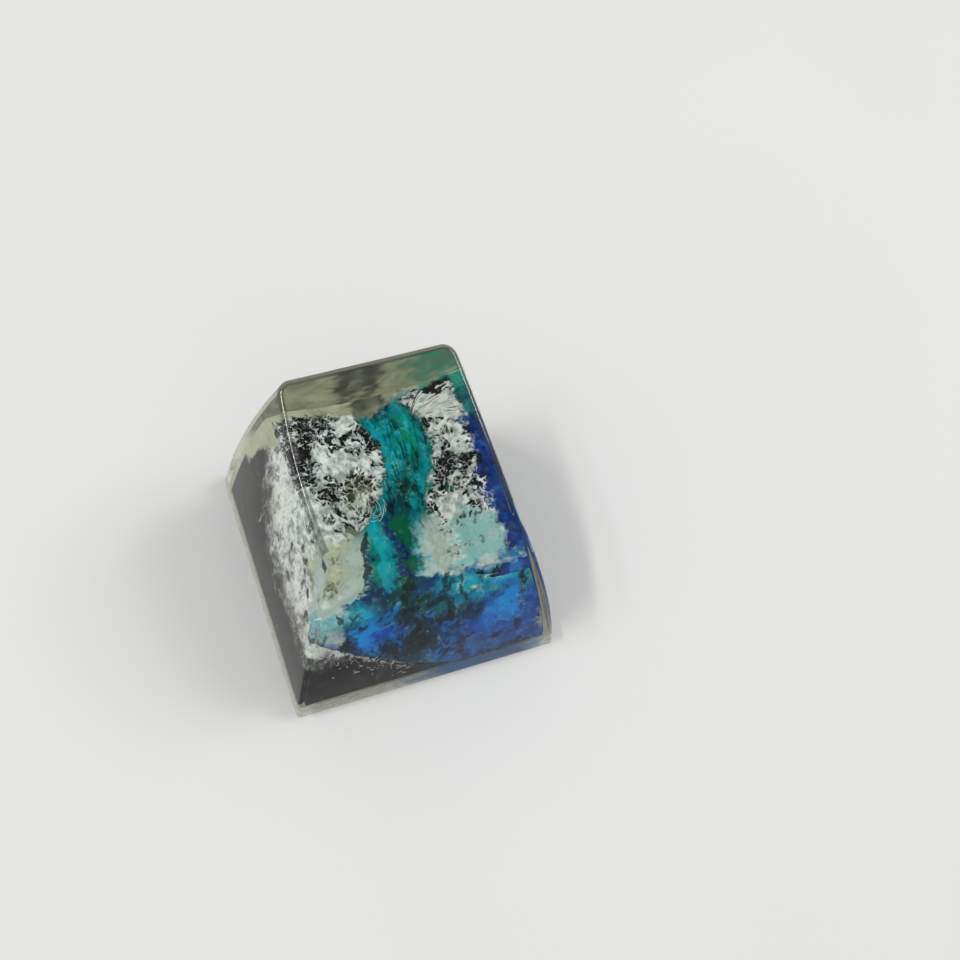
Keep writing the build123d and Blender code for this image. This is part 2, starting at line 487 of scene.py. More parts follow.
def make_river(node):
    """The tinted pour, with a rippled skin in place of its flat faces."""
    mesh = node.data.copy()
    mesh.transform(Matrix.Scale(1 / MM, 4))
    piece = new_object("river_body", mesh)
    remesh = piece.modifiers.new("even_net", "REMESH")
    remesh.mode = "VOXEL"
    remesh.voxel_size = RIVER_NET
    made = bpy.data.meshes.new_from_object(piece.evaluated_get(bpy.context.evaluated_depsgraph_get()))
    piece.modifiers.clear()
    piece.data = made
    made.materials.clear()
    keep_largest_island(made)
    points, normals = np.empty((2, len(made.vertices), 3))
    made.vertices.foreach_get("co", points.ravel())
    made.vertices.foreach_get("normal", normals.ravel())
    ripples = fractal_at(points * RIPPLE_STRETCH, RIPPLE_SIZE, 4)
    sink = RIPPLE_SINK + RIPPLE_HEIGHT * (1 + ripples)
    points -= normals * sink[:, None]
    made.vertices.foreach_set("co", (points * MM).ravel())
    made.shade_smooth()
    made.update()
    return piece


# White strokes and threads

class Strands:
    """Thin tapering tubes along curves, gathered in one mesh."""

    SIDES = 6

    def __init__(self):
        self.points, self.faces = [], []

    def add(self, path, radius):
        path = np.asarray(path, dtype=float)
        count = len(path)
        along = unit(np.gradient(path, axis=0))
        side = unit(np.cross(along, (0.13, 0.21, 0.97)))
        over = np.cross(side, along)
        first = len(self.points)
        for k in range(1, count - 1):
            thick = radius * math.sin(math.pi * k / (count - 1)) ** 0.4
            for turn in range(self.SIDES):
                angle = 2 * math.pi * turn / self.SIDES
                self.points.append(path[k] + thick * (math.cos(angle) * side[k] + math.sin(angle) * over[k]))
        rings = count - 2
        for face in strip_faces(rings, self.SIDES):
            self.faces.append([first + corner for corner in face[::-1]])
        start, end = len(self.points), len(self.points) + 1
        self.points += [path[0], path[-1]]
        last = first + (rings - 1) * self.SIDES
        for turn in range(self.SIDES):
            after = (turn + 1) % self.SIDES
            self.faces.append((first + turn, first + after, start))
            self.faces.append((last + after, last + turn, end))


def curve_between(start, end, sway, steps):
    """A plan curve from start to end that swings out sideways by the sway."""
    start, end = np.array(start), np.array(end)
    aside = np.array([start[1] - end[1], end[0] - start[0]])
    shares = np.linspace(0, 1, steps)[:, None]
    return start + (end - start) * shares + aside * sway * np.sin(math.pi * shares)


# How many strokes, threads and drips there are, and the middle of the swirl on the left bank
FAN_STROKES, HILL_THREADS, SWIRL_ARCS, WALL_DRIPS, SHORE_THREADS = 44, 170, 34, 24, 60
SWIRL_X, SWIRL_Y, SWIRL_SPREAD, SWIRL_LENGTH = -1.8, 0.3, 0.12, 1.3
STROKE_RADII, THREAD_RADII = (0.014, 0.035), (0.006, 0.015)
DRIP_RADII, SHORE_RADII = (0.010, 0.024), (0.008, 0.022)

# How far a strand stands off what it lies on, in shares of its radius, and the lowest land it lies on
LAND_LIFT, WALL_LIFT, LOWEST_LAND_Z = 0.6, 0.4, 6.0


def fan_strokes(pick, lay):
    """Strokes that fan out over the right crest."""
    for k in range(FAN_STROKES):
        turn = FAN_LOW + (FAN_HIGH - FAN_LOW) * (k + pick.uniform(0.1, 0.9)) / FAN_STROKES
        begin, end = pick.uniform(0.4, 1.6), FAN_REACH * pick.uniform(0.8, 0.95)
        plan = []
        for reach in np.linspace(begin, end, 16):
            bent = turn - FAN_CURL * (reach - FAN_CURL_START)
            plan.append((FAN_X + reach * math.cos(bent), FAN_Y + reach * math.sin(bent)))
        if all(y < crest_at(x) + 0.3 and x < SNOW_EDGE_X for x, y in plan):
            lay(plan, pick.uniform(*STROKE_RADII))


def hill_threads(pick, lay):
    """Threads that wander over both hills."""
    for k in range(HILL_THREADS):
        x = pick.uniform(-6.2, -1.4) if k % 5 < 3 else pick.uniform(2.8, 5.6)
        y = pick.uniform(-2.0, 7.0)
        angle = pick.gauss(-0.9, 0.7) + (math.pi if pick.random() < 0.5 else 0.0)
        reach = pick.uniform(0.3, 1.1)
        end_x, end_y = x + reach * math.cos(angle), y + reach * math.sin(angle)
        on_hill = abs(end_x - stream_middle(end_y)) > stream_half(end_y) + 0.1
        below_crest = max(y - crest_at(x), end_y - crest_at(end_x)) < -0.2
        if abs(end_x) < 5.8 and on_hill and below_crest:
            plan = curve_between((x, y), (end_x, end_y), pick.uniform(-0.5, 0.5), 12)
            lay(plan, pick.uniform(*THREAD_RADII))


def bank_swirl(pick, lay):
    """Arcs that curl round one place on the left bank."""
    for _ in range(SWIRL_ARCS):
        turn, reach, sweep = pick.uniform(0, 2 * math.pi), pick.uniform(0.25, 1.0), pick.uniform(0.5, 1.5)
        middle_x, middle_y = SWIRL_X + pick.gauss(0, SWIRL_SPREAD), SWIRL_Y + pick.gauss(0, SWIRL_SPREAD)
        plan = []
        for t in np.linspace(0, 1, 12):
            narrowing, angle = 1 - 0.25 * t, turn + sweep * t
            plan.append((middle_x + reach * narrowing * math.cos(angle),
                         middle_y + SWIRL_LENGTH * reach * narrowing * math.sin(angle)))
        lay(plan, pick.uniform(*THREAD_RADII))


def wall_drips(pick, strands):
    """Drips down the left wall of the rock."""
    for _ in range(WALL_DRIPS):
        y, z = pick.uniform(-6.0, 3.5), pick.uniform(5.6, 9.4)
        drop, drift = pick.uniform(0.4, 1.3), pick.uniform(-0.6, 0.1)
        radius = pick.uniform(*DRIP_RADII)
        path = []
        for t in np.linspace(0, 1, 10):
            height = z - drop * t
            wall = -(side_at(height) - SKIN + WALL_LIFT * radius)
            path.append((wall, y + drift * t + 0.05 * math.sin(5 * t + y), height))
        strands.add(path, radius)


def shore_threads(pick, strands):
    """Short threads on the front wall, under the shore line."""
    for _ in range(SHORE_THREADS):
        x = pick.uniform(-7.6, -1.5)
        share = (SHORE_END_X - x) / (SHORE_END_X + SHORE_REACH)
        z = SHORE_FOOT + (SHORE_HEIGHT - SHORE_FOOT) * share ** SHORE_BEND - abs(pick.gauss(0, 0.9))
        if z < 1.3:
            continue
        run, rise = pick.uniform(-0.45, 0.45), pick.uniform(-0.3, 0.3)
        radius = pick.uniform(*SHORE_RADII)
        path = []
        for t in np.linspace(0, 1, 8):
            height = z + rise * t + 0.03 * math.sin(4 * t + x)
            path.append((x + run * t, front_at(height) + SKIN - WALL_LIFT * radius, height))
        strands.add(path, radius)


def make_snow_strands(trees):
    """All strokes, threads and drips of white, laid over the landscape and on the rock's walls."""
    pick = random.Random(STRAND_SEED)
    strands = Strands()

    def lay(plan, radius):
        land = [max(height_on(tree, x, y, 0.0) for tree in trees) for x, y in plan]
        path = [(x, y, z + radius * LAND_LIFT) for (x, y), z in zip(plan, land)]
        if min(point[2] for point in path) > LOWEST_LAND_Z:
            strands.add(path, radius)

    fan_strokes(pick, lay)
    hill_threads(pick, lay)
    bank_swirl(pick, lay)
    wall_drips(pick, strands)
    shore_threads(pick, strands)
    return new_piece("snow_strands", strands.points, strands.faces, smooth_angle=80)


# Materials

class Value:
    """A number that a node gives. Sums with it make further nodes."""

    def __init__(self, nodes, socket):
        self.nodes, self.socket = nodes, socket

    def __add__(self, other):
        return self.nodes.math("ADD", self, other)

    def __sub__(self, other):
        return self.nodes.math("SUBTRACT", self, other)

    def __rsub__(self, other):
        return self.nodes.math("SUBTRACT", other, self)

    def __mul__(self, other):
        return self.nodes.math("MULTIPLY", self, other)

    def __truediv__(self, other):
        return self.nodes.math("DIVIDE", self, other)

    def __abs__(self):
        return self.nodes.math("ABSOLUTE", self)


class Nodes:
    """Builds one material's nodes with short calls."""

    def __init__(self, name):
        self.material = bpy.data.materials.new(name)
        self.material.use_nodes = True
        self.tree = self.material.node_tree
        self.tree.nodes.clear()
        self.output = self.tree.nodes.new("ShaderNodeOutputMaterial")
        self.place = self.tree.nodes.new("ShaderNodeTexCoord").outputs["Object"]

    def feed(self, socket, value):
        if isinstance(value, Value):
            value = value.socket
        if isinstance(value, bpy.types.NodeSocket):
            self.tree.links.new(value, socket)
        else:
            socket.default_value = value

    def node(self, kind, settings=None, **inputs):
        made = self.tree.nodes.new(kind)
        for key, value in (settings or {}).items():
            setattr(made, key, value)
        for key, value in inputs.items():
            self.feed(made.inputs[key.replace("_", " ")], value)
        return made

    def fed_in_turn(self, made, values, first=0):
        """A node with its inputs fed one after another, from the first one given."""
        for k, value in enumerate(values):
            self.feed(made.inputs[first + k], value)
        return made

    def math(self, operation, *values):
        made = self.fed_in_turn(self.node("ShaderNodeMath", {"operation": operation}), values)
        return Value(self, made.outputs[0])

    def larger(self, a, b):
        return self.math("MAXIMUM", a, b)

    def vector(self, operation, *values):
        made = self.fed_in_turn(self.node("ShaderNodeVectorMath", {"operation": operation}), values)
        return made.outputs[0]

    def length(self, vector):
        made = self.node("ShaderNodeVectorMath", {"operation": "LENGTH"}, Vector=vector)
        return Value(self, made.outputs["Value"])

    def split(self, vector):
        return [Value(self, part) for part in self.node("ShaderNodeSeparateXYZ", Vector=vector).outputs]

    def in_mm(self, stretch=(1.0, 1.0, 1.0)):
        """The place on the object in millimetres, drawn out by the stretch."""
        return self.vector("MULTIPLY", self.place, tuple(s / MM for s in stretch))

    def noise(self, place, size, detail=4.0, roughness=0.55, output="Fac"):
        """Noise with features of about the given size in millimetres."""
        made = self.node("ShaderNodeTexNoise", Vector=place, Scale=1 / size, Detail=detail,
                         Roughness=roughness)
        return Value(self, made.outputs[output])

    def warped(self, place, size, amount):
        """The place moved about by noise of that size, by up to about that many millimetres."""
        shift = self.noise(place, size, detail=3.0, output="Color")
        shift = self.vector("SUBTRACT", shift, (0.5, 0.5, 0.5))
        return self.vector("ADD", place, self.vector("MULTIPLY", shift, (2 * amount,) * 3))

    def ramp(self, value, low, high):
        """Goes smoothly from 0 at low to 1 at high."""
        made = self.node("ShaderNodeMapRange", {"interpolation_type": "SMOOTHSTEP"}, Value=value,
                         From_Min=low, From_Max=high)
        return Value(self, made.outputs["Result"])

    def mix(self, share, a, b):
        made = self.node("ShaderNodeMix", {"data_type": "RGBA"}, Factor=share)
        return self.fed_in_turn(made, (a, b), first=6).outputs[2]

    def mix_shader(self, share, a, b):
        return self.fed_in_turn(self.node("ShaderNodeMixShader"), (share, a, b)).outputs[0]

    def bump(self, height, strength, distance_mm):
        made = self.node("ShaderNodeBump", Height=height, Strength=strength, Distance=distance_mm * MM)
        return made.outputs[0]

    def surface(self, shader):
        self.tree.links.new(shader, self.output.inputs["Surface"])
        return self.material

    def principled(self, **inputs):
        return self.node("ShaderNodeBsdfPrincipled", **inputs).outputs[0]

    def opaque(self, tone, roughness, gloss, **inputs):
        return self.surface(self.principled(Base_Color=tone, Roughness=roughness, Specular_IOR_Level=gloss,
                                            **inputs))


def colour(red, green, blue):
    """A colour given as it looks on screen, from 0 to 255, for a shader."""
    def linear(value):
        share = value / 255
        return share / 12.92 if share <= 0.04045 else ((share + 0.055) / 1.055) ** 2.4
    return (linear(red), linear(green), linear(blue), 1.0)


def see_through(nodes, glass):
    """Resin with a faint olive tint in its depth. Lamps reach what is cast inside it."""
    clear = nodes.node("ShaderNodeBsdfTransparent", Color=(0.96, 0.965, 0.94, 1.0)).outputs[0]
    path = nodes.node("ShaderNodeLightPath").outputs
    lit = nodes.mix_shader(path["Is Diffuse Ray"], glass, clear)
    olive = nodes.node("ShaderNodeVolumeAbsorption", Color=(0.60, 0.62, 0.42, 1.0), Density=40.0)
    nodes.tree.links.new(olive.outputs[0], nodes.output.inputs["Volume"])
    return nodes.surface(nodes.mix_shader(path["Is Shadow Ray"], lit, clear))


def polished_resin_material(name, shine, bend, blur):
    """Polished clear resin, with faint marks in its gloss."""
    nodes = Nodes(name)
    marks = nodes.noise(nodes.warped(nodes.in_mm(), 0.6, 0.5), 0.8, detail=6.0, roughness=0.7)
    rough = nodes.ramp(marks, 0.5, 0.75) * 0.03 + blur
    glass = nodes.principled(Base_Color=(0.97, 0.975, 0.95, 1.0), Roughness=rough, IOR=bend,
                             Transmission_Weight=1.0, Specular_Tint=(shine, shine, shine, 1.0))
    return see_through(nodes, glass)


def hazy_resin_material():
    """The band along the base: clear resin made hazy by sanding, with streaks that run round the cap."""
    nodes = Nodes("hazy_resin")
    banded = nodes.warped(nodes.in_mm((0.25, 0.25, 1.0)), 0.5, 0.25)
    streaks = nodes.noise(banded, 0.16, detail=5.0, roughness=0.65)
    tone = nodes.mix(nodes.ramp(streaks, 0.35, 0.65), colour(166, 170, 158), colour(232, 235, 226))
    glass = nodes.principled(Base_Color=with_blue_foot(nodes, tone), Roughness=0.25, IOR=1.5,
                             Transmission_Weight=0.65, Specular_Tint=(0.4, 0.4, 0.4, 1.0))
    return see_through(nodes, glass)


def sanded_resin_material():
    """The foot of the casting, sanded flat: pale, with fine scratches."""
    nodes = Nodes("sanded_resin")
    brushed = nodes.warped(nodes.in_mm((1.0, 0.2, 1.0)), 1.0, 0.6)
    scratches = nodes.noise(brushed, 0.2, detail=6.0, roughness=0.7)
    tone = nodes.mix(scratches, colour(206, 208, 198), colour(240, 241, 234))
    return nodes.opaque(with_blue_foot(nodes, tone), 0.7, 0.3, Normal=nodes.bump(scratches, 0.4, 0.02))


def zoned(nodes, place, tone, zones, torn, detail=9.0):
    """A colour that goes from zone to zone. A zone is its middle and its reach in mm, and its colour."""
    ragged = (nodes.noise(place, 0.9, detail=detail, roughness=0.62) - 0.5) * torn
    for middle, reach, shade in zones:
        away = nodes.vector("SUBTRACT", place, middle)
        away = nodes.vector("MULTIPLY", away, tuple(1 / r for r in reach))
        tone = nodes.mix(nodes.ramp(nodes.length(away) + ragged, 1.05, 0.35), tone, colour(*shade))
    return tone


# The blue that shows through the foot at the front
BLUE_FOOT = ((3.6, -8.6, 0.5), (6.4, 3.0, 2.6), (74, 124, 176))


def with_blue_foot(nodes, tone):
    return zoned(nodes, nodes.warped(nodes.in_mm(), 1.6, 1.0), tone, [BLUE_FOOT], torn=1.2)


# Paint on the rock, its stains, and the tints of the bare rock, one of which is a painted reflection
PALE_BANK = colour(172, 190, 186)
SNOW = colour(226, 232, 231)
STAINS = [
    ((-4.6, -3.0, 8.8), (2.6, 2.1, 2.0), (170, 182, 166)),
    ((-3.7, -2.8, 8.8), (0.8, 1.6, 1.5), (190, 196, 154)),
    ((-5.4, -2.4, 8.8), (0.7, 1.0, 1.5), (180, 188, 164)),
    ((-4.6, -4.2, 8.6), (1.0, 0.7, 1.5), (150, 162, 150)),
    ((-2.6, 1.0, 10.0), (1.3, 1.2, 1.5), (186, 191, 172)),
    ((4.4, -3.2, 8.9), (3.0, 1.8, 1.6), (138, 186, 186)),
    ((3.0, -4.0, 8.6), (1.4, 0.9, 1.6), (128, 186, 190)),
]
ROCK_ZONES = [
    ((-4.6, -3.0, 8.8), (2.4, 2.0, 2.0), (132, 144, 120)),
    ((-2.6, 1.0, 10.0), (1.2, 1.1, 1.5), (110, 116, 96)),
    ((4.6, -3.4, 8.9), (2.6, 1.5, 1.6), (110, 138, 140)),
    ((5.0, -9.0, 1.0), (6.5, 4.0, 3.0), (28, 62, 116)),
    # Dark teal in the cracks of the right hill: a painted reflection of the water beside it
    ((3.6, -0.2, 9.2), (0.7, 0.5, 1.5), (0, 84, 72)),
]


def blue_tone(nodes, place):
    """The blue that ran down the rock's right side, and turns to teal towards the back."""
    swirl = nodes.warped(nodes.warped(place, 2.4, 3.6), 0.7, 0.9)
    cloud = nodes.noise(nodes.vector("MULTIPLY", swirl, (1.0, 1.0, 0.6)), 1.6, detail=7.0, roughness=0.58)
    tone = nodes.mix(nodes.ramp(cloud, 0.3, 0.52), colour(5, 16, 52), colour(16, 50, 124))
    tone = nodes.mix(nodes.ramp(cloud, 0.52, 0.72), tone, colour(28, 104, 178))
    back = nodes.mix(nodes.ramp(cloud, 0.35, 0.65), colour(18, 84, 82), colour(48, 146, 128))
    return nodes.mix(nodes.ramp(nodes.split(swirl)[1], 3.6, 6.2), tone, back)


def rock_tone(nodes, place, detail):
    """Black rock with grey clouds, tinted where colour ran into it, with a painted reflection of the water in
    the cracks of the right hill, and blue along its right side.
    """
    cloud = nodes.noise(place, 0.9, detail=detail, roughness=0.65)
    dark = nodes.mix(nodes.ramp(cloud, 0.45, 0.75), colour(7, 8, 10), colour(46, 48, 48))
    tinted = zoned(nodes, nodes.warped(place, 1.8, 1.2), dark, ROCK_ZONES, torn=1.6)
    right = nodes.split(nodes.warped(nodes.warped(place, 1.8, 1.8), 0.45, 0.5))[0]
    tinted = nodes.mix(nodes.ramp(right, 5.0, 5.9), tinted, blue_tone(nodes, place))
    grain = nodes.noise(place, 0.25, detail=0.75 * detail, roughness=0.7)
    return nodes.mix(nodes.ramp(grain, 0.55, 0.85), tinted, dark), cloud


# The olive tone painted against the rock's back and foot: partly the resin's clouding, partly painted shade
CLOUDING_AND_SHADE_ZONES = [
    ((0.4, 7.6, 9.0), (2.4, 2.0, 9.0), (104, 108, 98)),
    ((-0.7, 7.6, 9.0), (1.0, 2.0, 9.0), (70, 74, 70)),
    ((1.3, 7.6, 9.0), (0.9, 2.0, 9.0), (66, 70, 68)),
    ((6.8, 7.6, 8.0), (4.4, 3.0, 9.0), (64, 142, 126)),
    # Painted light: this zone paints the rock's foot pale, for the light scattered in the hazy band above the
    # base
    ((0.0, 0.0, 0.0), (14.0, 14.0, 2.2), (222, 224, 214)),
    BLUE_FOOT,
]


def clouding_and_shade_tone(nodes, place):
    """Olive tone painted on the back and the foot of the rock: partly clouding of the resin that lies against
    them, partly painted shade for the shaded floor seen through the thick resin.
    """
    tone = zoned(nodes, nodes.warped(place, 1.6, 0.8), colour(168, 172, 146), CLOUDING_AND_SHADE_ZONES, torn=1.8)
    haze = nodes.noise(nodes.warped(place, 2.4, 2.0), 2.2, detail=3.0, roughness=0.5)
    tone = nodes.mix(nodes.ramp(haze, 0.55, 0.28) * 0.6, tone, colour(110, 116, 102))
    return nodes.mix(nodes.ramp(haze, 0.5, 0.75) * 0.6, tone, colour(198, 201, 182))


def off_stream(nodes, place):
    """How far a place lies outside the open water, in mm."""
    x, y, _ = nodes.split(place)
    middle = nodes.math("SINE", y * (2 * math.pi / STREAM_BEND_LENGTH)) * STREAM_BEND
    mouth = nodes.ramp(y, *MOUTH_RUN) * (MOUTH_HALF - STREAM_HALF)
    pool = nodes.ramp(y, *POOL_RUN) * POOL_WIDENING
    return abs(x - middle) - (mouth + pool + STREAM_HALF)


# How far the clouds of mist swing the pool's back edge, and where that edge lies along y
POOL_EDGE_SWING, POOL_EDGE = 4.0, (-3.8, -4.7)


def mist_at(nodes, place):
    """Soft clouds of mist, above 0 inside them."""
    return nodes.noise(nodes.warped(place, 0.9, 1.2), 1.0, detail=5.0, roughness=0.58) - 0.5


def clouded_and_shaded_back(nodes, place, tone):
    """The tone, lost behind the crest of the hills in the olive tone that is partly clouding and partly
    painted shade.
    """
    x, y, _ = nodes.split(place)
    away = (x - DIP_X) / DIP_HALF
    dip = nodes.math("POWER", math.e, away * away * -1.0)
    crest = CREST_Y - dip * CREST_DIP + x * CREST_SLOPE
    torn = nodes.noise(place, 0.7, detail=8.0, roughness=0.65)
    behind = y - crest + (torn - 0.5) * 2.0
    return nodes.mix(nodes.ramp(behind, -0.05, 0.3), tone, clouding_and_shade_tone(nodes, place))


def relief_material():
    """The rugged rock: white paint where the snow attribute says, pale banks, and blue by the pool."""
    nodes = Nodes("snowy_rock")
    place = nodes.in_mm()
    x, y, _ = nodes.split(place)
    tone, cloud = rock_tone(nodes, place, 8.0)
    snow = Value(nodes, nodes.node("ShaderNodeAttribute", {"attribute_name": "snow"}).outputs["Fac"])
    fray = (nodes.noise(place, 0.12, detail=5.0, roughness=0.7) - 0.5) * 0.9
    cover = nodes.ramp(snow + fray * 0.4, 0.12, 0.85)
    thin = nodes.noise(place, 0.5)
    white = nodes.mix(nodes.ramp(thin, 0.35, 0.65), colour(148, 160, 162), SNOW)
    stained = zoned(nodes, nodes.warped(place, 1.5, 1.2), white, STAINS, torn=1.6)
    veil = nodes.noise(nodes.warped(place, 0.8, 1.0), 0.6, detail=7.0, roughness=0.65)
    veil = nodes.ramp(veil, 0.45, 0.68) * 0.6 * nodes.ramp(snow, -0.05, 0.15)
    tone = nodes.mix(cover, nodes.mix(veil, tone, colour(150, 160, 160)), stained)

    shore = off_stream(nodes, nodes.warped(place, 0.7, 0.8)) + fray * 0.8 - nodes.ramp(y, -0.8, -2.2)
    bank = nodes.mix(nodes.ramp(y, -1.0, -2.2), colour(16, 122, 118), PALE_BANK)
    tone = nodes.mix(nodes.ramp(shore, 0.75, 0.0), tone, bank)
    tone = nodes.mix(nodes.ramp(y + (thin - 0.5) * 2.4, -3.9, -4.8), tone, PALE_BANK)
    spill = nodes.ramp(y + mist_at(nodes, place) * POOL_EDGE_SWING, *POOL_EDGE) * nodes.ramp(x, -3.6, -2.4)
    tone = nodes.mix(spill, tone, nodes.mix(thin, colour(0, 84, 150), colour(0, 132, 178)))
    relief = nodes.bump(cover + cloud, 0.5, 0.04)
    return nodes.opaque(clouded_and_shaded_back(nodes, place, tone), 0.6, 0.0, Normal=relief)


def black_resin_material():
    """The poured black resin: speckled, streaked with white on its left, and painted olive at its back and
    foot, partly clouding and partly painted shade, with a pale foot that is painted light.
    """
    nodes = Nodes("black_resin")
    place = nodes.in_mm()
    x, y, z = nodes.split(place)
    tone, _ = rock_tone(nodes, place, 2.0)
    ragged = nodes.noise(place, 1.1, detail=6.0, roughness=0.6) - 0.5
    left = nodes.ramp(x, -5.5, -6.3)

    specks = nodes.ramp(nodes.noise(place, 0.35, detail=3.0, roughness=0.6), 0.7, 0.76)
    tone = nodes.mix(specks * 0.6, tone, colour(176, 178, 174))
    streaks = nodes.warped(nodes.in_mm((1.0, 1.0, 0.35)), 0.8, 0.9)
    streaks = nodes.noise(streaks, 0.3, detail=8.0, roughness=0.7)
    smears = nodes.warped(nodes.in_mm((1.0, 0.7, 0.5)), 1.0, 1.2)
    smears = nodes.noise(smears, 0.8, detail=7.0, roughness=0.6)
    rise = nodes.larger(y - 1.0, 0.0) * 0.9
    snowy = nodes.ramp(z - 5.4 - rise + ragged * 6.0, -1.6, 2.2)
    share = snowy * left * nodes.ramp(streaks + snowy * 0.2, 0.4, 0.7) * nodes.ramp(smears, 0.3, 0.55)
    tone = nodes.mix(share, tone, colour(224, 229, 227))

    inland = nodes.larger(SHORE_END_X - x, 0.0) / (SHORE_END_X + SHORE_REACH)
    shore = nodes.math("POWER", inland, SHORE_BEND) * (SHORE_HEIGHT - SHORE_FOOT) + SHORE_FOOT
    torn = nodes.ramp(shore - z + ragged * 3.0, 0.7, 0.1)
    torn = torn * nodes.ramp(x, -0.5, -2.5) * nodes.ramp(y, -5.0, -6.0)
    gaps = nodes.ramp(nodes.noise(place, 0.55, detail=3.0), 0.56, 0.48) * nodes.ramp(x, -6.0, -4.0)
    torn = torn * (1.0 - gaps) * nodes.ramp(streaks, 0.4, 0.55)
    tone = nodes.mix(torn, tone, colour(206, 212, 212))

    # Painted shade: the left-back corner, the back wall and the foot take the olive tone, which stands in
    # partly for the resin's clouding and partly for the shaded floor seen through it; at the foot it is pale,
    # painted light from the hazy band
    corner = nodes.ramp(z - 6.4 - (7.4 - y) * 2.2 + ragged * 3.0, -0.4, 0.6) * left
    wall = nodes.ramp(y, 7.42, 7.55)
    beside, before = nodes.ramp(abs(x), 7.0, 7.3), nodes.ramp(abs(y), 6.5, 6.7)
    foot = nodes.ramp(z, 0.98, 0.93) * nodes.larger(beside, before)
    clouding_and_shade_share = nodes.larger(nodes.larger(corner, wall), foot)
    tone = nodes.mix(clouding_and_shade_share, tone, clouding_and_shade_tone(nodes, place))
    tone = nodes.mix(nodes.ramp(z, 6.0, 7.0), tone, clouded_and_shaded_back(nodes, place, tone))
    flow = nodes.noise(place, 2.2, detail=1.0)
    return nodes.opaque(tone, 0.5, 0.08, Normal=nodes.bump(flow, 0.3, 0.1))


WATER_ZONES = [
    ((5.5, -7.0, 4.5), (6.0, 4.0, 5.0), (20, 74, 160)),
    ((-1.5, -7.6, 3.5), (4.0, 2.5, 4.0), (8, 48, 80)),
    ((0.8, 3.0, 9.3), (3.5, 7.0, 3.0), (0, 76, 76)),
    ((0.4, 6.6, 9.8), (2.6, 1.6, 2.0), (8, 62, 96)),
    ((1.7, 4.4, 9.6), (1.2, 2.4, 2.0), (0, 128, 104)),
    ((0.2, 3.4, 9.4), (0.7, 1.6, 2.0), (0, 120, 114)),
    ((0.4, 0.4, 9.1), (0.9, 2.0, 2.0), (0, 44, 38)),
    ((1.4, 0.2, 9.0), (0.7, 2.4, 2.0), (0, 122, 130)),
    ((-0.4, -2.0, 8.7), (1.0, 1.3, 2.0), (0, 86, 54)),
    ((-2.7, -1.8, 8.7), (1.1, 2.4, 2.0), (0, 138, 120)),
    ((1.6, -2.8, 8.5), (0.9, 1.5, 2.0), (120, 200, 208)),
    ((2.6, -5.4, 7.6), (3.4, 2.0, 1.9), (0, 132, 168)),
    ((-1.2, -5.4, 7.8), (2.6, 2.2, 2.4), (0, 52, 54)),
    ((-1.2, -7.2, 5.0), (1.6, 1.8, 2.6), (0, 36, 36)),
    ((-1.2, -4.0, 8.3), (1.0, 1.0, 1.2), (0, 88, 54)),
    # The next two zones turn the blue paler and milky low on the front: a painted reflection of the floor
    ((3.4, -8.0, 2.6), (2.0, 1.4, 1.2), (40, 88, 152)),
    ((-0.4, -8.2, 2.0), (1.6, 1.4, 0.8), (52, 106, 136)),
    ((0.6, -6.4, 7.2), (1.6, 1.2, 1.2), (0, 96, 100)),
    ((-6.9, -5.6, 7.8), (1.6, 2.2, 2.0), (176, 192, 192)),
    ((-3.9, -6.6, 6.3), (2.2, 2.0, 2.0), (0, 142, 232)),
    ((-2.6, -6.9, 5.9), (1.5, 1.4, 1.1), (8, 70, 184)),
    ((2.0, -6.9, 6.0), (1.8, 1.5, 1.5), (2, 40, 58)),
    ((5.5, -7.0, 5.7), (1.9, 1.8, 1.9), (8, 142, 224)),
    ((4.0, -7.4, 4.4), (1.4, 1.4, 1.2), (20, 80, 190)),
    # Pale grey at the right front corner: a painted reflection of the floor
    ((8.2, -7.4, 3.0), (1.3, 1.4, 1.6), (146, 156, 144)),
    ((-6.4, -7.2, 5.6), (2.2, 2.0, 1.3), (40, 42, 46)),
]


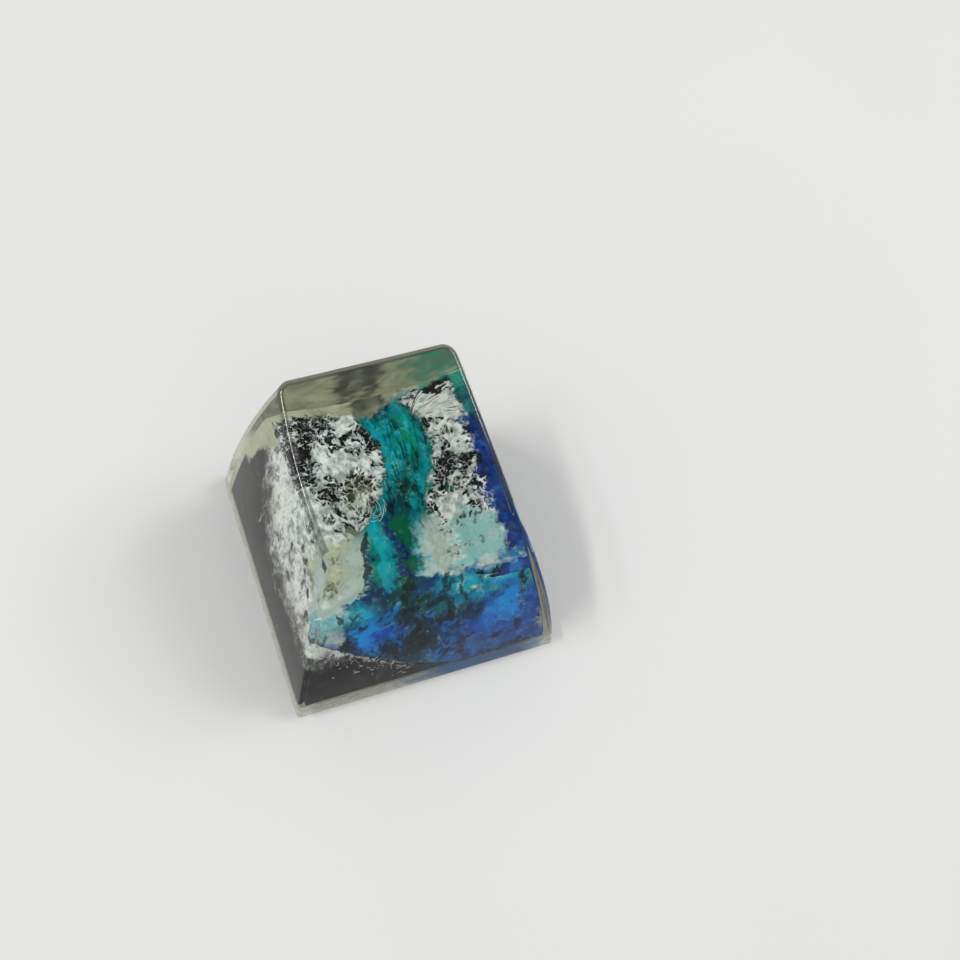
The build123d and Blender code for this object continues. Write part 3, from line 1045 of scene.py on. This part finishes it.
def water_material():
    """Tinted resin: inks that ran into each other, drawn out along the flow, with mist along the banks, and a
    painted reflection of the floor that turns the front paler and greyer low down.
    """
    nodes = Nodes("tinted_water")
    place = nodes.in_mm()
    x, y, z = nodes.split(place)
    inks = nodes.warped(nodes.warped(place, 2.0, 2.0), 0.8, 0.8)
    tone = zoned(nodes, inks, colour(10, 48, 96), WATER_ZONES, torn=1.3, detail=4.0)

    mist = mist_at(nodes, place)
    bank = off_stream(nodes, place) + mist * 3.0
    behind = nodes.ramp(y + mist * POOL_EDGE_SWING, *POOL_EDGE[::-1])
    beside = nodes.ramp(abs(x - MOUTH_X), 1.8, 3.4) * nodes.ramp(y, -4.4, -5.2)
    brink = z + mist * 4.5
    shallow = nodes.larger(nodes.ramp(bank, -1.1, 0.1) * behind, beside * nodes.ramp(brink, 6.6, 8.4))
    misty = nodes.ramp(bank, -0.9, 0.3) * nodes.ramp(y, -1.2, -2.6) * behind
    misty = nodes.larger(misty, beside * nodes.ramp(brink, 8.0, 9.2))
    tone = nodes.mix(shallow * 0.75, tone, colour(0, 150, 164))
    tone = nodes.mix(misty, tone, colour(176, 194, 190))

    deep = nodes.warped(nodes.in_mm((1.0, 0.5, 0.7)), 1.4, 2.0)
    deep = nodes.noise(deep, 1.5, detail=3.5, roughness=0.5)
    tone = nodes.mix(nodes.ramp(deep, 0.47, 0.36) * 0.85, tone, colour(0, 14, 20))
    bright = nodes.mix(nodes.ramp(y, -5.0, -6.2), colour(10, 170, 206), colour(0, 128, 224))
    tone = nodes.mix(nodes.ramp(deep, 0.53, 0.64) * 0.5, tone, bright)
    streaks = nodes.warped(nodes.in_mm((1.0, 0.16, 0.4)), 1.5, 1.2)
    streaks = nodes.noise(streaks, 0.25, detail=5.0, roughness=0.6)
    upstream = nodes.ramp(y, -1.5, 1.5)
    tone = nodes.mix(nodes.ramp(streaks, 0.48, 0.36) * upstream * 0.8, tone, colour(0, 36, 36))
    tone = nodes.mix(nodes.ramp(streaks, 0.54, 0.72) * upstream * 0.36, tone, colour(60, 190, 164))
    wisps = nodes.noise(nodes.warped(nodes.warped(place, 1.6, 2.4), 0.4, 0.5), 1.3)
    wisps = nodes.ramp(abs(wisps - 0.5), 0.03, 0.0) * nodes.ramp(mist, 0.0, 0.15)
    tone = nodes.mix(wisps * 0.4, tone, colour(150, 214, 222))
    return nodes.opaque(clouded_and_shaded_back(nodes, place, tone), 0.6, 0.0, Normal=nodes.bump(deep, 0.4, 0.06))


def snow_material():
    nodes = Nodes("white_paint")
    cloud = nodes.noise(nodes.in_mm(), 0.3)
    tone = nodes.mix(cloud, colour(196, 202, 200), colour(248, 250, 248))
    return nodes.opaque(tone, 0.5, 0.05)


# Stage: floor, lamps and camera

PHOTO_WIDTH = 960
FOCAL_PIXELS = 1500
SENSOR_WIDTH = 36.0
CAMERA_PLACE = Vector((-20.2, -33.458, 97.763))
CAMERA_AIM = Vector((6.665, 1.59, 6.0))
CAMERA_ROLL = math.radians(-19.831)


def make_camera():
    """The camera at the photo's angle. It leans a little to the left."""
    data = bpy.data.cameras.new("camera")
    data.sensor_width = SENSOR_WIDTH
    data.lens = SENSOR_WIDTH * FOCAL_PIXELS / PHOTO_WIDTH
    data.clip_start = 1 * MM
    data.clip_end = 10.0
    camera = new_object("camera", data)
    forward = (CAMERA_AIM - CAMERA_PLACE).normalized()
    level_right = forward.cross(Vector((0, 0, 1))).normalized()
    level_up = level_right.cross(forward)
    up = level_up * math.cos(CAMERA_ROLL) + level_right * math.sin(CAMERA_ROLL)
    right = forward.cross(up)
    camera.matrix_world = Matrix.LocRotScale(
        CAMERA_PLACE * MM, Matrix((right, up, -forward)).transposed().to_quaternion(), None)
    bpy.context.scene.camera = camera


LAMP_AIM = Vector((0.0, 0.0, 5.0))


def make_lamp(name, place_mm, size_mm, watts):
    """A soft lamp that points at the cap."""
    data = bpy.data.lights.new(name, "AREA")
    data.shape = "RECTANGLE"
    data.size, data.size_y = size_mm[0] * MM, size_mm[1] * MM
    data.energy = watts
    place = Vector(place_mm)
    turn = (place - LAMP_AIM).to_track_quat("Z", "Y")
    new_object(name, data).matrix_world = Matrix.LocRotScale(place * MM, turn, None)


FLOOR_HALF, FLOOR_DROP = 2500.0, 0.02
SKY_STRENGTH = 0.52


def make_stage():
    """A plain pale floor, a grey sky and soft lamps."""
    corners = [(x * FLOOR_HALF, y * FLOOR_HALF, -FLOOR_DROP) for x, y in ((-1, -1), (1, -1), (1, 1), (-1, 1))]
    floor = new_piece("floor", corners, [(0, 1, 2, 3)])
    nodes = Nodes("floor_paint")
    grain = nodes.noise(nodes.in_mm(), 40.0, detail=2.0)
    tone = nodes.mix(grain, colour(220, 220, 219), colour(226, 226, 225))
    floor.data.materials.append(nodes.opaque(tone, 0.7, 0.5))

    world = bpy.data.worlds.new("sky")
    bpy.context.scene.world = world
    world.use_nodes = True
    sky = world.node_tree.nodes["Background"]
    sky.inputs["Color"].default_value = (1.0, 1.0, 0.99, 1.0)
    sky.inputs["Strength"].default_value = SKY_STRENGTH
    make_lamp("key_lamp", (300.0, 20.0, 280.0), (200.0, 200.0), 0.62)
    make_lamp("fill_lamp", (-240.0, 60.0, 330.0), (190.0, 24.0), 0.66)
    bpy.context.scene.view_settings.view_transform = "Standard"


def dress(piece, material):
    """Gives a new piece its material, and fixes it to the part."""
    piece.data.materials.append(material)
    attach(piece, "root")


make_stage()
make_camera()

clear_body = make_clear_body()
dress(clear_body, polished_resin_material("clear_resin", shine=0.26, bend=1.5, blur=0.02))
polished_edge = polished_resin_material("polished_edge", shine=1.0, bend=1.6, blur=0.14)
for finish in (sanded_resin_material(), hazy_resin_material(), polished_edge):
    clear_body.data.materials.append(finish)
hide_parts("clear_casting")

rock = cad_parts["rock_base"]
rock.data.materials.clear()
rock.data.materials.append(black_resin_material())

river_body = make_river(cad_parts["river_pour"])
dress(river_body, water_material())
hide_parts("river_pour")

relief = make_relief(tree_in_mm(rock))
dress(relief, relief_material())

snow_strands = make_snow_strands([tree_in_mm(relief), tree_in_mm(river_body)])
dress(snow_strands, snow_material())
